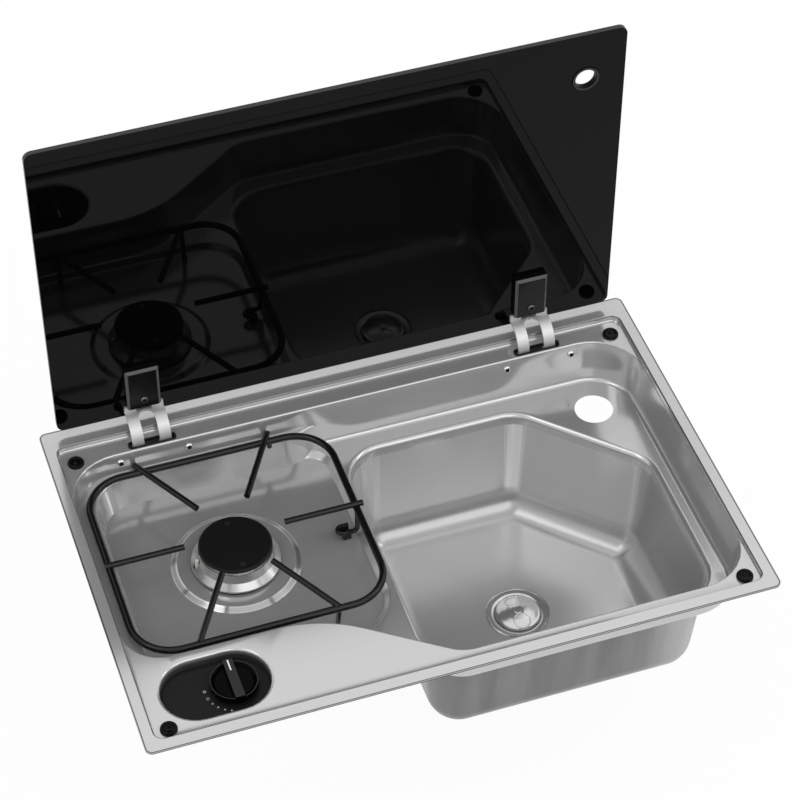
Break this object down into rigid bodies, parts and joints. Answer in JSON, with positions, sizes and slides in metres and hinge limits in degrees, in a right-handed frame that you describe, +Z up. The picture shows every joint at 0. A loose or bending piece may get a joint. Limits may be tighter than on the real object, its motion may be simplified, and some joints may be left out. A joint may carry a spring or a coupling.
{
  "type": "hob and sink combination",
  "caption": "Inset stainless unit with a gas burner and pan support beside a deep sink, under a hinged black glass lid.",
  "frame": {"origin": "middle of the front run of the seal under the rim, on the worktop plane that the rim rests on", "axes": "+X to the right along the front rim, +Y to the back towards the hinges, +Z up out of the worktop"},
  "size_m": [0.6, 0.4, 0.5867],
  "materials": {
    "sheet_steel": "satin",
    "bright_steel": "polished",
    "black_glass": "gloss",
    "black_enamel": "satin",
    "burner_alloy": "satin",
    "valve_brass": "satin",
    "black_plastic": "matte",
    "gloss_black_plastic": "gloss",
    "black_rubber": "matte",
    "ceramic": "gloss",
    "zinc_steel": "satin"
  },
  "bodies": {
    "base": {"tray": "sheet_steel", "sink_bowl": "sheet_steel", "rim_seal": "black_rubber", "lid_buffers": "black_rubber", "grommet_left": "black_rubber", "grommet_right": "black_rubber", "hinge_box_left": "zinc_steel", "hinge_box_right": "zinc_steel", "hinge_pin_left": "bright_steel", "hinge_pin_right": "bright_steel", "hinge_screws": "bright_steel", "knob_plate": "black_plastic", "gas_valve": "valve_brass", "valve_screws": "bright_steel", "burner_seal": "black_rubber", "burner_skirt": "burner_alloy", "burner_pot": "burner_alloy", "burner_crown": "burner_alloy", "burner_cap": "black_enamel", "cap_screws": "black_enamel", "injector": "valve_brass", "electrode": "ceramic", "electrode_lead": "black_rubber", "burner_pipe": "zinc_steel", "inlet_pipe": "zinc_steel", "pipe_nuts": "valve_brass", "support_clip": "black_plastic", "waste_flange": "bright_steel", "waste_strainer": "bright_steel", "strainer_screw": "bright_steel", "waste_gasket": "black_rubber", "waste_body": "black_plastic"},
    "lid": {"glass_lid": "black_glass", "finger_ring": "gloss_black_plastic", "hinge_cover_left": "gloss_black_plastic", "hinge_cover_right": "gloss_black_plastic", "hinge_arm_left": "bright_steel", "hinge_arm_right": "bright_steel", "cover_screws": "bright_steel"},
    "plug": {"valve_plug": "valve_brass"},
    "knob": {"valve_spindle": "bright_steel", "knob": "gloss_black_plastic"},
    "pan_support": {"pan_support": "black_enamel"}
  },
  "joints": [
    {"name": "lid_hinge", "type": "hinge", "parent": "base", "child": "lid", "pos_m": [0, 0.3798, -0.0066], "axis": [1, 0, 0], "range_deg": [0, 90]},
    {"name": "knob_turn", "type": "hinge", "parent": "base", "child": "plug", "pos_m": [-0.204, 0.0555, -0.0185], "axis": [0, 0, 1], "range_deg": [0, 160]},
    {"name": "knob_push", "type": "slide", "parent": "plug", "child": "knob", "axis": [0, 0, -1], "range_m": [0, 0.003], "stiffness_N_per_m": 1500, "springref_m": -0.002},
    {"name": "support_lift", "type": "slide", "parent": "base", "child": "pan_support", "axis": [0, 0, 1], "range_m": [0, 0.12]}
  ]
}
